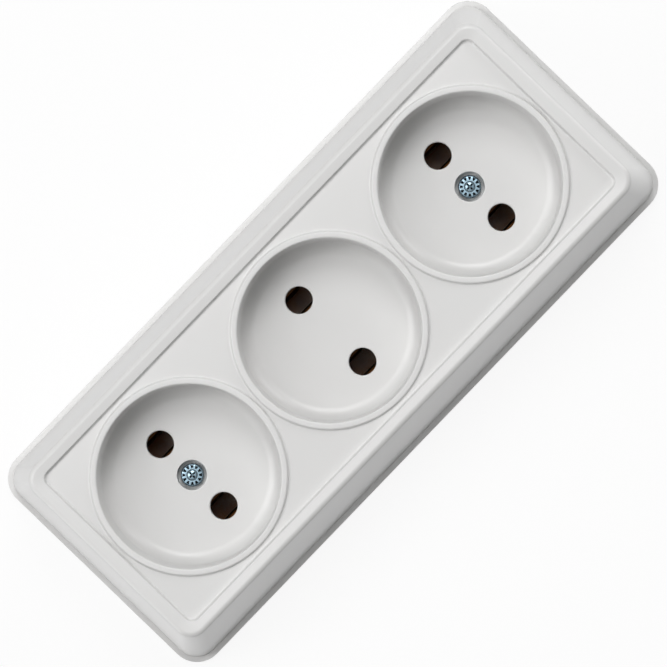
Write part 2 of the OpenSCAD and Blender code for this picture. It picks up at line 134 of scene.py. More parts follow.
class Skin:
    """A closed surface that grows from loops by extrusion, and is rounded and filled at the end."""

    def __init__(self) -> None:
        """Start an empty surface."""
        self.bm: BMesh = bmesh.new()
        self.roundings: list[Rounding] = []

    def start(self, outline: Outline, arc_steps: int) -> Ring:
        """Make the first loop of a surface.

        Args:
            outline: Shape and place of the loop.
            arc_steps: Segments in each quarter turn.

        Returns:
            The loop.
        """
        if outline.corner >= min(outline.half_x, outline.half_y):
            at = Matrix.Translation((outline.x, outline.y, outline.z))
            made = bmesh.ops.create_circle(self.bm, cap_ends=False, segments=4 * arc_steps,
                                           radius=outline.half_x, matrix=at)
            verts = list(made["verts"])
        else:
            made = bmesh.ops.create_grid(self.bm, x_segments=1, y_segments=1, size=1.0)
            verts = list(made["verts"])
            bmesh.ops.scale(self.bm, vec=(outline.half_x, outline.half_y, 1.0), verts=verts)
            bmesh.ops.translate(self.bm, vec=(outline.x, outline.y, outline.z), verts=verts)
            made = bmesh.ops.bevel(self.bm, geom=verts, offset=outline.corner, offset_type="OFFSET",
                                   segments=arc_steps, profile=0.5, affect="VERTICES",
                                   clamp_overlap=False, material=-1)
            verts = list(made["verts"])
            face = verts[0].link_faces[0]
            bmesh.ops.delete(self.bm, geom=[face], context="FACES_ONLY")
        edges = sorted({edge for vert in verts for edge in vert.link_edges}, key=lambda e: e.index)
        return Ring(verts, edges, outline)

    def grow(self, ring: Ring, outline: Outline) -> Ring:
        """Extrude a loop to a new outline.

        Args:
            ring: The loop to start from.
            outline: Where the new loop lies.

        Returns:
            The new loop.
        """
        made = bmesh.ops.extrude_edge_only(self.bm, edges=ring.edges)["geom"]
        verts = [item for item in made if isinstance(item, BMVert)]
        fresh = set(verts)
        edges = [item for item in made
                 if isinstance(item, BMEdge) and item.verts[0] in fresh and item.verts[1] in fresh]
        old = ring.outline
        quarters: dict[tuple[int, int], list[BMVert]] = {}
        for vert in verts:
            key = (1 if vert.co.x > old.x else -1, 1 if vert.co.y > old.y else -1)
            quarters.setdefault(key, []).append(vert)
        share = outline.corner / old.corner
        for (sign_x, sign_y), members in quarters.items():
            shift = (Matrix.Translation(outline.corner_centre(sign_x, sign_y))
                     @ Matrix.Diagonal((share, share, 1.0, 1.0))
                     @ Matrix.Translation(-old.corner_centre(sign_x, sign_y)))
            bmesh.ops.transform(self.bm, matrix=shift, verts=members)
        return Ring(verts, edges, outline)

    def round_off(self, ring: Ring, radius: float, segments: int = 4, turn: float = 90.0) -> None:
        """Note a loop whose edge is to be rounded.

        Args:
            ring: The loop.
            radius: Radius of the rounding.
            segments: Faces across the rounding.
            turn: Angle in degrees by which the surface turns there.
        """
        self.roundings.append(Rounding(tuple(ring.edges), radius, turn, segments))

    def finish_roundings(self) -> None:
        """Round all the noted loops."""
        for item in self.roundings:
            offset = item.radius * math.tan(math.radians(item.turn / 2))
            bmesh.ops.bevel(self.bm, geom=list(item.edges), offset=offset, offset_type="OFFSET",
                            segments=item.segments, profile=0.5, affect="EDGES",
                            clamp_overlap=False, material=-1)
        self.roundings.clear()

    def fill(self, rings: list[Ring]) -> None:
        """Close a flat region between loops.

        Args:
            rings: The loop round the region and those round its holes.
        """
        edges = [edge for ring in rings for edge in ring.edges]
        bmesh.ops.triangle_fill(self.bm, use_beauty=True, use_dissolve=False, edges=edges)

    def box(self, low: tuple[float, float, float], high: tuple[float, float, float]) -> None:
        """Add a rib as a closed block.

        Args:
            low: Its lowest corner.
            high: Its highest corner.
        """
        made = bmesh.ops.create_cube(self.bm, size=1.0)["verts"]
        size = [b - a for a, b in zip(low, high)]
        middle = [(a + b) / 2 for a, b in zip(low, high)]
        bmesh.ops.scale(self.bm, vec=size, verts=made)
        bmesh.ops.translate(self.bm, vec=middle, verts=made)

    def finish(self, name: str) -> bpy.types.Object:
        """Turn the surface into an object in metres.

        Args:
            name: Name of the object.

        Returns:
            The object, linked to the scene.
        """
        bmesh.ops.remove_doubles(self.bm, verts=list(self.bm.verts), dist=0.0005)
        bmesh.ops.recalc_face_normals(self.bm, faces=list(self.bm.faces))
        open_edges = sum(1 for edge in self.bm.edges if not edge.is_manifold)
        bmesh.ops.scale(self.bm, vec=(MM, MM, MM), verts=list(self.bm.verts))
        piece = object_from(self.bm, name)
        LOG.info("%s: %d faces, %d open edges", name, len(piece.data.polygons), open_edges)
        return piece


def object_from(bm: BMesh, name: str) -> bpy.types.Object:
    """Make a smooth-shaded object from a bmesh and free the bmesh.

    Args:
        bm: The finished bmesh, in metres.
        name: Name of the object and its mesh.

    Returns:
        The object, linked to the scene.
    """
    for face in bm.faces:
        face.smooth = True
    mesh = bpy.data.meshes.new(name)
    bm.to_mesh(mesh)
    bm.free()
    piece = bpy.data.objects.new(name, mesh)
    bpy.context.scene.collection.objects.link(piece)
    return piece


def even_shading(piece: bpy.types.Object, sharp_deg: float = 180.0) -> None:
    """Let large flat faces keep their own shading beside small rounded ones.

    Args:
        piece: The object.
        sharp_deg: Angle above which an edge stays sharp.
    """
    if sharp_deg < 180.0:
        piece.data.set_sharp_from_angle(angle=math.radians(sharp_deg))
    weighted = piece.modifiers.new("even_shading", "WEIGHTED_NORMAL")
    weighted.mode = "FACE_AREA"
    weighted.weight = 100
    weighted.keep_sharp = sharp_deg < 180.0


def settle(piece: bpy.types.Object, slot: Slot, material: bpy.types.Material, *nodes: str) -> None:
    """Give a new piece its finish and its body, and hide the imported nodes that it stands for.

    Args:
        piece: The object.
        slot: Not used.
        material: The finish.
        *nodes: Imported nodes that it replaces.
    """
    piece.data.materials.clear()
    piece.data.materials.append(material)
    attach(piece, ROOT)
    if nodes:
        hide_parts(*nodes)
    LOG.info("piece %s", piece.name)


# Materials


def linear(code: str) -> tuple[float, float, float, float]:
    """Turn an sRGB hex colour into the linear values that shaders read.

    Args:
        code: Six hex digits after a number sign.

    Returns:
        Red, green, blue and an alpha of 1.
    """
    parts = [int(code[i:i + 2], 16) / 255 for i in (1, 3, 5)]
    made = [p / 12.92 if p <= 0.04045 else ((p + 0.055) / 1.055) ** 2.4 for p in parts]
    return (made[0], made[1], made[2], 1.0)


def add_node(tree: bpy.types.NodeTree, kind: str, settings: dict[str, object] | None = None,
             links: dict[str | int, object] | None = None) -> bpy.types.Node:
    """Add a shader node with its settings and links.

    Args:
        tree: The node tree.
        kind: The node's type name.
        settings: Attributes, or input sockets by name, and their values.
        links: Input sockets by name or number, and the outputs that feed them.

    Returns:
        The node.
    """
    node = tree.nodes.new(kind)
    for name, value in (settings or {}).items():
        if hasattr(node, name):
            setattr(node, name, value)
        else:
            node.inputs[name].default_value = value
    for socket, source in (links or {}).items():
        tree.links.new(source, node.inputs[socket])
    return node


def blank_material(name: str) -> tuple[bpy.types.Material, bpy.types.NodeTree]:
    """Make a material whose node tree is empty.

    Args:
        name: Name of the material.

    Returns:
        The material and its tree.
    """
    material = bpy.data.materials.new(name)
    material.use_nodes = True
    material.node_tree.nodes.clear()
    return material, material.node_tree


def per_metre(size_mm: float) -> float:
    """Return the texture scale at which one feature is so many millimetres wide."""
    return 1000.0 / size_mm


# The real cover and base are moulded urea with a satin gloss. The eye gets a near-white with broad
# soft highlights, a hardly visible orange peel and no grain of its own.
@dataclass(frozen=True)
class MouldedPlastic:
    """Moulded urea plastic, warm white: an even satin gloss with a faint orange peel."""

    name: str
    colour: str = "#DADAD9"
    shade: str = "#D7D6D5"
    roughness: float = 0.34
    cloud_mm: float = 22.0
    peel_mm: float = 1.6
    grain_mm: float = 0.35
    peel_height_mm: float = 0.004
    grain_height_mm: float = 0.0015
    # Painted shade for the closed inside: brown with less gloss where ambient occlusion is deep.
    paints_enclosed_shade: bool = False
    painted_shade_colour: str = "#BC7C46"
    painted_shade_specular: float = 0.13
    painted_shade_reach_mm: float = 30.0
    open_share: tuple[float, float] = (0.12, 0.3)

    def make(self) -> bpy.types.Material:
        """Build the material.

        Returns:
            The material.
        """
        material, tree = blank_material(self.name)
        place = add_node(tree, "ShaderNodeTexCoord").outputs["Object"]
        cloud = add_node(tree, "ShaderNodeTexNoise",
                         {"Scale": per_metre(self.cloud_mm), "Detail": 3.0}, {"Vector": place})
        tint = add_node(tree, "ShaderNodeMix", {"data_type": "RGBA"}, {0: cloud.outputs["Fac"]})
        tint.inputs[6].default_value = linear(self.shade)
        tint.inputs[7].default_value = linear(self.colour)
        peel = add_node(tree, "ShaderNodeTexNoise",
                        {"Scale": per_metre(self.peel_mm), "Detail": 2.0}, {"Vector": place})
        grain = add_node(tree, "ShaderNodeTexNoise",
                         {"Scale": per_metre(self.grain_mm), "Detail": 1.0}, {"Vector": place})
        rough = add_node(tree, "ShaderNodeMapRange",
                         {"To Min": self.roughness - 0.03, "To Max": self.roughness + 0.03},
                         {"Value": peel.outputs["Fac"]})
        wave = add_node(tree, "ShaderNodeBump",
                        {"Strength": 1.0, "Distance": self.peel_height_mm * MM},
                        {"Height": peel.outputs["Fac"]})
        fine = add_node(tree, "ShaderNodeBump",
                        {"Strength": 1.0, "Distance": self.grain_height_mm * MM},
                        {"Height": grain.outputs["Fac"], "Normal": wave.outputs["Normal"]})
        shader = add_node(tree, "ShaderNodeBsdfPrincipled", {"IOR": 1.52},
                          {"Base Color": tint.outputs[2], "Roughness": rough.outputs["Result"],
                           "Normal": fine.outputs["Normal"]})
        # Painted shade: the closed inside turns brown and loses gloss where ambient occlusion is deep.
        if self.paints_enclosed_shade:
            self.paint_enclosed_shade(tree, tint, shader)
        add_node(tree, "ShaderNodeOutputMaterial", None, {"Surface": shader.outputs["BSDF"]})
        return material

    def paint_enclosed_shade(self, tree: bpy.types.NodeTree, tint: bpy.types.Node,
                   shader: bpy.types.Node) -> None:
        """Paint shade on the closed inside, which shows through the pin holes: where ambient occlusion is deep,
        the colour turns brown and the gloss drops.

        Args:
            tree: The material's node tree.
            tint: The node with the plastic's own colour.
            shader: The material's shader.
        """
        nook = add_node(tree, "ShaderNodeAmbientOcclusion",
                        {"samples": 8, "Distance": self.painted_shade_reach_mm * MM})
        low, high = self.open_share
        seen = {"Value": nook.outputs["AO"]}
        lit_share = add_node(tree, "ShaderNodeMapRange", {"From Min": low, "From Max": high}, seen)
        gloss = add_node(tree, "ShaderNodeMapRange",
                         {"From Min": low, "From Max": high, "To Min": self.painted_shade_specular,
                          "To Max": 0.5}, seen)
        colour = add_node(tree, "ShaderNodeMix", {"data_type": "RGBA"},
                          {0: lit_share.outputs["Result"], 7: tint.outputs[2]})
        colour.inputs[6].default_value = linear(self.painted_shade_colour)
        tree.links.new(colour.outputs[2], shader.inputs["Base Color"])
        tree.links.new(gloss.outputs["Result"], shader.inputs["Specular IOR Level"])


# The real contacts are brass bars and tarnished bronze clips, cut from rolled strip. The eye gets a
# yellow metal for the bars and rivets, and a dim brown one for the clips behind the pin holes.
@dataclass(frozen=True)
class RolledStrip:
    """Rolled copper alloy strip, blanked and formed: long rolling marks and a light tarnish."""

    name: str
    colour: str
    tarnish: str
    roughness: float = 0.32
    mark_mm: float = 0.25
    mark_length_mm: float = 12.0
    stain_mm: float = 5.0
    mark_height_mm: float = 0.003

    def make(self) -> bpy.types.Material:
        """Build the material.

        Returns:
            The material.
        """
        material, tree = blank_material(self.name)
        place = add_node(tree, "ShaderNodeTexCoord").outputs["Object"]
        stretch = add_node(tree, "ShaderNodeMapping",
                           {"Scale": (1.0, self.mark_mm / self.mark_length_mm, 1.0)},
                           {"Vector": place})
        marks = add_node(tree, "ShaderNodeTexNoise",
                         {"Scale": per_metre(self.mark_mm), "Detail": 2.0},
                         {"Vector": stretch.outputs["Vector"]})
        stain = add_node(tree, "ShaderNodeTexNoise",
                         {"Scale": per_metre(self.stain_mm), "Detail": 4.0}, {"Vector": place})
        tint = add_node(tree, "ShaderNodeMix", {"data_type": "RGBA"}, {0: stain.outputs["Fac"]})
        tint.inputs[6].default_value = linear(self.colour)
        tint.inputs[7].default_value = linear(self.tarnish)
        rough = add_node(tree, "ShaderNodeMapRange",
                         {"To Min": self.roughness - 0.08, "To Max": self.roughness + 0.1},
                         {"Value": marks.outputs["Fac"]})
        lines = add_node(tree, "ShaderNodeBump",
                         {"Strength": 1.0, "Distance": self.mark_height_mm * MM},
                         {"Height": marks.outputs["Fac"]})
        shader = add_node(tree, "ShaderNodeBsdfPrincipled", {"Metallic": 1.0},
                          {"Base Color": tint.outputs[2], "Roughness": rough.outputs["Result"],
                           "Normal": lines.outputs["Normal"]})
        add_node(tree, "ShaderNodeOutputMaterial", None, {"Surface": shader.outputs["BSDF"]})
        return material


# The real screws, nuts and washers are steel with a blue-passivated zinc plate. The eye gets a cool grey metal
# that changes from spot to spot; where the notches and the cross go down, near-black shade is painted into the
# colour.
@dataclass(frozen=True)
class ZincPlate:
    """Steel with bright zinc plating, blue passivated: a grey metal with a bluish cloud."""

    name: str
    colour: str = "#92A6B1"
    cloud_colour: str = "#5F737F"
    # Colour of the painted shade in the notches and the cross.
    painted_recess_shade: str = "#0C0F11"
    roughness: float = 0.26
    cloud_mm: float = 0.9
    grain_mm: float = 0.3
    grain_height_mm: float = 0.006
    recess_mm: float = 0.6

    def make(self) -> bpy.types.Material:
        """Build the material.

        Returns:
            The material.
        """
        material, tree = blank_material(self.name)
        place = add_node(tree, "ShaderNodeTexCoord").outputs["Object"]
        cloud = add_node(tree, "ShaderNodeTexNoise",
                         {"Scale": per_metre(self.cloud_mm), "Detail": 3.0}, {"Vector": place})
        tint = add_node(tree, "ShaderNodeMix", {"data_type": "RGBA"}, {0: cloud.outputs["Fac"]})
        tint.inputs[6].default_value = linear(self.colour)
        tint.inputs[7].default_value = linear(self.cloud_colour)
        # Painted shade: where ambient occlusion is deep, in the notches and the cross, the colour turns
        # near-black.
        nook = add_node(tree, "ShaderNodeAmbientOcclusion",
                        {"samples": 8, "only_local": True, "Distance": self.recess_mm * MM})
        recess_shade_share = add_node(tree, "ShaderNodeMapRange", {"From Min": 0.45, "From Max": 0.92},
                        {"Value": nook.outputs["AO"]})
        plated = add_node(tree, "ShaderNodeMix", {"data_type": "RGBA"},
                          {0: recess_shade_share.outputs["Result"], 7: tint.outputs[2]})
        plated.inputs[6].default_value = linear(self.painted_recess_shade)
        grain = add_node(tree, "ShaderNodeTexNoise",
                         {"Scale": per_metre(self.grain_mm), "Detail": 2.0}, {"Vector": place})
        rough = add_node(tree, "ShaderNodeMapRange",
                         {"To Min": self.roughness - 0.06, "To Max": self.roughness + 0.08},
                         {"Value": cloud.outputs["Fac"]})
        fine = add_node(tree, "ShaderNodeBump",
                        {"Strength": 1.0, "Distance": self.grain_height_mm * MM},
                        {"Height": grain.outputs["Fac"]})
        shader = add_node(tree, "ShaderNodeBsdfPrincipled", {"Metallic": 1.0},
                          {"Base Color": plated.outputs[2], "Roughness": rough.outputs["Result"],
                           "Normal": fine.outputs["Normal"]})
        add_node(tree, "ShaderNodeOutputMaterial", None, {"Surface": shader.outputs["BSDF"]})
        return material


# The moulded cover


@dataclass
class Cover:
    """The moulded cover: leaning skin, raised frame, sunk panel and three recesses with rims."""

    pitch: float = 43.0
    body_h: float = 35.58
    foot_z: float = 3.0
    foot_half: tuple[float, float] = (29.51, 73.26)
    foot_corner: float = 5.0
    crest_half: tuple[float, float] = (25.11, 68.26)
    crest_corner: float = 4.0
    edge_r: float = 1.1
    panel_half: tuple[float, float] = (22.36, 65.21)
    panel_corner: float = 2.0
    frame_low_z: float = 35.36
    panel_z: float = 34.3
    rim_in_r: float = 19.6
    rim_w: float = 1.46
    rim_h: float = 0.8
    wall_r: float = 19.3
    floor_z: float = 21.6
    bottom_r: float = 3.0
    cup_t: float = 1.8
    wall_t: float = 2.0
    seam_h: float = 0.35
    seam_depth: float = 0.6
    pin_x: float = 9.5
    pin_hole_r: float = 2.95
    sink_r: float = 3.2
    sink_depth: float = 2.6
    screw_hole_r: float = 1.7
    boss_r: float = 4.5
    boss_z: float = 16.5
    soft_edge: float = 0.25
    step_r: float = 0.4
    step_lean: float = 0.35
    rim_foot_r: float = 0.38
    rim_outer_r: float = 0.41
    rim_inner_r: float = 0.4
    web_w: float = 10.0
    web_foot_z: float = 28.0
    gusset_t: float = 1.2
    gusset_reach: float = 12.9
    round_steps: int = 32
    corner_steps: int = 10
    skin: Skin = field(default_factory=Skin)
    flats: list[list[Ring]] = field(default_factory=list)

    def lean_at(self, z: float) -> tuple[float, float, float]:
        """Return the skin's half sizes and corner radius at one height."""
        share = (z - self.foot_z) / (self.body_h - self.foot_z)
        halves = [foot + share * (crest - foot) for foot, crest in zip(self.foot_half, self.crest_half)]
        corner = self.foot_corner + share * (self.crest_corner - self.foot_corner)
        return halves[0], halves[1], corner

    def skin_outline(self, z: float, inset: float = 0.0) -> Outline:
        """Return the skin's outline at one height, taken in all round."""
        half_x, half_y, corner = self.lean_at(z)
        return Outline(half_x - inset, half_y - inset, corner - inset, z)

    def panel_outline(self, z: float, inset: float = 0.0) -> Outline:
        """Return the panel's outline at one height, taken in all round."""
        half_x, half_y = self.panel_half
        return Outline(half_x - inset, half_y - inset, self.panel_corner - inset, z)

    def crest_outline(self) -> tuple[Outline, float]:
        """Find the sharp corner that the rounded crest replaces.

        Returns:
            The corner's outline, and the angle in degrees by which the surface turns there.
        """
        centre_z = self.body_h - self.edge_r
        lean = math.atan2(self.foot_half[0] - self.crest_half[0], self.body_h - self.foot_z)
        skin_x = self.lean_at(centre_z)[0]
        centre_x = skin_x - self.edge_r / math.cos(lean)
        run, rise = centre_x - self.panel_half[0], centre_z - self.frame_low_z
        climb = math.atan2(rise, run) + math.asin(self.edge_r / math.hypot(run, rise))
        slope = math.tan(lean)
        reach = (skin_x - self.panel_half[0]
                 - slope * (self.frame_low_z - centre_z)) / (1 + slope * math.tan(climb))
        z = self.frame_low_z + reach * math.tan(climb)
        return self.skin_outline(z), 90.0 + math.degrees(climb - lean)

    def outside(self) -> tuple[Ring, Ring]:
        """Build the frame, the leaning skin, the shadow groove and the inner walls.

        Returns:
            The loops round the panel and round the ceiling inside.
        """
        skin = self.skin
        panel = skin.start(self.panel_outline(self.panel_z, self.step_lean + 0.5), self.corner_steps)
        step_foot = skin.grow(panel, self.panel_outline(self.panel_z, self.step_lean))
        step_top = skin.grow(step_foot, self.panel_outline(self.frame_low_z))
        crest, turn = self.crest_outline()
        crest_ring = skin.grow(step_top, crest)
        groove_z = self.foot_z + self.seam_h
        skirt = skin.grow(crest_ring, self.skin_outline(groove_z))
        groove = skin.grow(skirt, self.skin_outline(groove_z, self.seam_depth))
        foot = skin.grow(groove, self.skin_outline(self.foot_z, self.seam_depth))
        inner_foot = skin.grow(foot, self.skin_outline(self.foot_z, self.wall_t))
        ceiling_z = self.panel_z - self.wall_t
        inner_top = skin.grow(inner_foot, self.skin_outline(ceiling_z, self.wall_t))
        ceiling = skin.grow(inner_top, self.skin_outline(ceiling_z, self.wall_t + 1.0))
        step_turn = 90.0 - math.degrees(math.atan2(self.step_lean, self.frame_low_z - self.panel_z))
        skin.round_off(step_foot, self.step_r, 5, step_turn)
        skin.round_off(step_top, self.soft_edge, 4, step_turn)
        skin.round_off(crest_ring, self.edge_r, 8, turn)
        skin.round_off(skirt, 0.12, 3)
        skin.round_off(inner_foot, 0.2, 2)
        skin.round_off(inner_top, 0.6, 3)
        return panel, ceiling

    def recess(self, row: Row) -> tuple[Ring, Ring]:
        """Build one recess with its rim, floor, pin holes and, in the outer rows, its screw hole.

        Args:
            row: Which recess.

        Returns:
            The loops round the rim on the panel and round the cup on the ceiling inside.
        """
        skin = self.skin
        y = row.value * self.pitch
        rim_z = self.panel_z + self.rim_h
        rim_out_r = self.rim_in_r + self.rim_w
        flat_r = self.wall_r - self.bottom_r - 0.04
        under_z = self.floor_z - self.cup_t
        cup_r = self.wall_r + self.cup_t

        panel = skin.start(Outline.circle(rim_out_r + self.rim_foot_r + 0.03, self.panel_z, y=y), self.round_steps)
        rim_foot = skin.grow(panel, Outline.circle(rim_out_r, self.panel_z, y=y))
        rim_outer = skin.grow(rim_foot, Outline.circle(rim_out_r, rim_z, y=y))
        rim_inner = skin.grow(rim_outer, Outline.circle(self.rim_in_r, rim_z, y=y))
        corner = skin.grow(rim_inner, Outline.circle(self.wall_r, self.floor_z, y=y))
        floor = skin.grow(corner, Outline.circle(flat_r, self.floor_z, y=y))
        skin.round_off(rim_foot, self.rim_foot_r, 4)
        skin.round_off(rim_outer, self.rim_outer_r, 6)
        skin.round_off(rim_inner, self.rim_inner_r, 5, 88.7)
        skin.round_off(corner, self.bottom_r, 18, 88.7)

        under = skin.start(Outline.circle(flat_r, under_z, y=y), self.round_steps)
        cup_corner = skin.grow(under, Outline.circle(cup_r, under_z, y=y))
        cup_top = skin.grow(cup_corner, Outline.circle(cup_r, self.panel_z - self.wall_t, y=y))
        ceiling = skin.grow(cup_top, Outline.circle(cup_r + 0.3, self.panel_z - self.wall_t, y=y))
        skin.round_off(cup_corner, self.bottom_r + self.cup_t, 12)
        skin.round_off(cup_top, 0.2, 2)

        floor_rings, under_rings = [floor], [under]
        for side in (-1, 1):
            top, bottom = self.pin_hole(side * self.pin_x, y, under_z)
            floor_rings.append(top)
            under_rings.append(bottom)
        if row is not Row.MIDDLE:
            top, bottom = self.screw_hole(y, under_z)
            floor_rings.append(top)
            under_rings.append(bottom)
        self.flats.extend([floor_rings, under_rings])
        return panel, ceiling

    def pin_hole(self, x: float, y: float, under_z: float) -> tuple[Ring, Ring]:
        """Build one pin hole through a recess floor.

        Args:
            x: Its place across.
            y: Its place along.
            under_z: Height of the floor's underside.

        Returns:
            The loops round it on the floor and on the underside.
        """
        skin = self.skin
        top = skin.start(Outline.circle(self.pin_hole_r + 0.34, self.floor_z, x, y), 16)
        edge = skin.grow(top, Outline.circle(self.pin_hole_r, self.floor_z, x, y))
        lower = skin.grow(edge, Outline.circle(self.pin_hole_r, under_z, x, y))
        bottom = skin.grow(lower, Outline.circle(self.pin_hole_r + 0.3, under_z, x, y))
        skin.round_off(edge, 0.28, 4)
        skin.round_off(lower, 0.15, 2)
        return top, bottom

    def screw_hole(self, y: float, under_z: float) -> tuple[Ring, Ring]:
        """Build one counterbored screw hole with its boss.

        Args:
            y: Its place along.
            under_z: Height of the floor's underside.

        Returns:
            The loops round it on the floor and on the underside.
        """
        skin = self.skin
        seat_z = self.floor_z - self.sink_depth
        top = skin.start(Outline.circle(self.sink_r + 0.3, self.floor_z, y=y), 16)
        edge = skin.grow(top, Outline.circle(self.sink_r, self.floor_z, y=y))
        seat_rim = skin.grow(edge, Outline.circle(self.sink_r, seat_z, y=y))
        seat = skin.grow(seat_rim, Outline.circle(self.screw_hole_r, seat_z, y=y))
        end = skin.grow(seat, Outline.circle(self.screw_hole_r, self.boss_z, y=y))
        boss = skin.grow(end, Outline.circle(self.boss_r, self.boss_z, y=y))
        root = skin.grow(boss, Outline.circle(self.boss_r, under_z, y=y))
        bottom = skin.grow(root, Outline.circle(self.boss_r + 0.3, under_z, y=y))
        skin.round_off(edge, 0.18, 3)
        skin.round_off(seat_rim, 0.15, 2)
        skin.round_off(seat, 0.1, 2)
        skin.round_off(boss, 0.3, 2)
        skin.round_off(root, 0.2, 2)
        return top, bottom

    def ribs(self) -> None:
        """Build the webs between the recesses and the gussets beside the screw bosses."""
        web_top = self.panel_z - self.wall_t / 2
        web_y = (self.rim_in_r + self.wall_r + self.cup_t) / 2
        for y in (-self.pitch, 0.0):
            self.skin.box((-self.web_w / 2, y + web_y, self.web_foot_z),
                          (self.web_w / 2, y + self.pitch - web_y, web_top))
        near, far = self.boss_r - self.cup_t / 2, self.gusset_reach
        for row in (Row.LOWER, Row.UPPER):
            for start, end in ((near, far), (-far, -near)):
                y = row.value * self.pitch
                self.skin.box((-self.gusset_t / 2, y + start, self.boss_z),
                              (self.gusset_t / 2, y + end, self.floor_z - self.cup_t / 2))

    def build(self) -> bpy.types.Object:
        """Build the whole cover.

        Returns:
            The object.
        """
        panel, ceiling = self.outside()
        panel_rings, ceiling_rings = [panel], [ceiling]
        for row in Row:
            on_panel, on_ceiling = self.recess(row)
            panel_rings.append(on_panel)
            ceiling_rings.append(on_ceiling)
        self.skin.finish_roundings()
        for rings in [panel_rings, ceiling_rings, *self.flats]:
            self.skin.fill(rings)
        self.ribs()
        piece = self.skin.finish("moulded_cover")
        even_shading(piece)
        return piece


# The base


@dataclass
class Base:
    """The moulded base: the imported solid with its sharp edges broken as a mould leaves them."""

    edge_mm: float = 0.25
    edge_angle_deg: float = 50.0

    def build(self, node: bpy.types.Object) -> bpy.types.Object:
        """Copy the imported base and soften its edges.

        Args:
            node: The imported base.

        Returns:
            The object.
        """
        bm = bmesh.new()
        bm.from_mesh(node.data)
        bmesh.ops.remove_doubles(bm, verts=list(bm.verts), dist=0.002 * MM)
        bmesh.ops.dissolve_limit(bm, angle_limit=math.radians(0.5), use_dissolve_boundaries=False,
                                 verts=list(bm.verts), edges=list(bm.edges))
        piece = object_from(bm, "moulded_base")
        bevel = piece.modifiers.new("soft_edges", "BEVEL")
        bevel.width = self.edge_mm * MM
        bevel.segments = 3
        bevel.limit_method = "ANGLE"
        bevel.angle_limit = math.radians(self.edge_angle_deg)
        even_shading(piece)
        return piece


# The cover screws


